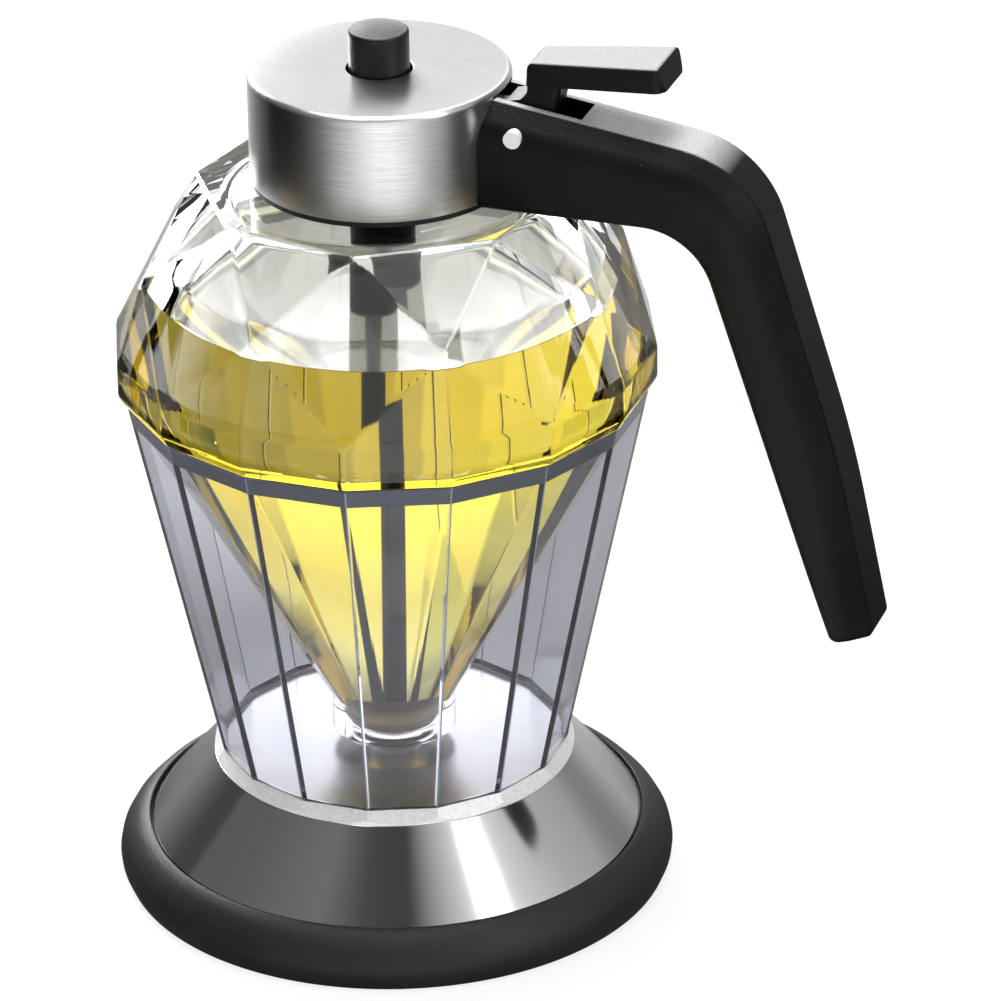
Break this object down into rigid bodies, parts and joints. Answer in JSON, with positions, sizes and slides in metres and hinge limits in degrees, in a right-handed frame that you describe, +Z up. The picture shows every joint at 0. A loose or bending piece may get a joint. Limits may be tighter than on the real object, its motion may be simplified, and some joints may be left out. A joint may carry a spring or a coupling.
{
  "type": "oil dispenser",
  "caption": "Faceted glass oil jar in a faceted cup on a flared foot, with a screw lid, a drop handle and a thumb lever that lifts the outlet valve.",
  "frame": {"origin": "on the jar's axis, in the plane that the stand rests on", "axes": "+Z up along the jar's axis, +X from the jar towards the handle"},
  "size_m": [0.1417, 0.1012, 0.1632],
  "materials": {
    "foot_rubber": "matt charcoal rubber",
    "black_plastic": "fine matt black moulding",
    "polished_steel": "polished stainless steel",
    "satin_metal": "light grey satin, speckled",
    "smoke_glass": "clear with a smoke-grey tint",
    "clear_glass": "clear, faceted",
    "silicone": "translucent brown silicone",
    "brushed_steel": "fine brushing",
    "bright_steel": "bright drawn steel",
    "knob_plastic": "satin black",
    "rod_plastic": "smooth black"
  },
  "bodies": {
    "stand": {"foot_ring": "foot_rubber", "base_plate": "black_plastic", "stand_base": "polished_steel", "seat_ring": "satin_metal", "stand_cup": "smoke_glass"},
    "jar": {"glass_jar": "clear_glass"},
    "gasket": {"lid_gasket": "silicone"},
    "lid": {"lid_collar": "black_plastic", "cap_shell": "brushed_steel", "rod_guide": "black_plastic", "handle": "black_plastic", "handle_screws": "bright_steel", "lever_pin": "bright_steel"},
    "lever": {"lever": "black_plastic"},
    "valve": {"lift_knob": "knob_plastic", "valve_rod": "rod_plastic", "spring_clip": "bright_steel", "return_spring": "bright_steel", "valve_stopper": "silicone"}
  },
  "joints": [
    {"name": "jar_lift", "type": "slide", "parent": "stand", "child": "jar", "axis": [0, 0, 1], "range_m": [0, 0.08]},
    {"name": "lid_rise", "type": "slide", "parent": "jar", "child": "gasket", "axis": [0, 0, 1], "range_m": [0, 0.0054]},
    {"name": "lid_unscrew", "type": "hinge", "parent": "gasket", "child": "lid", "pos_m": [0, 0, 0.14], "axis": [0, 0, 1], "range_deg": [0, 540]},
    {"name": "lever_press", "type": "hinge", "parent": "lid", "child": "lever", "pos_m": [0.0273, 0, 0.1488], "axis": [0, 1, 0], "range_deg": [0, 12]},
    {"name": "valve_lift", "type": "slide", "parent": "lid", "child": "valve", "axis": [0, 0, 1], "range_m": [0, 0.0057], "stiffness_N_per_m": 300, "springref_m": -0.006, "deforming": ["return_spring"]}
  ],
  "couplings": [
    {"joint": "lid_rise", "follows": "lid_unscrew", "m_per_rad": 0.00055704},
    {"joint": "lever_press", "follows": "valve_lift", "rad_per_m": 36.63}
  ]
}
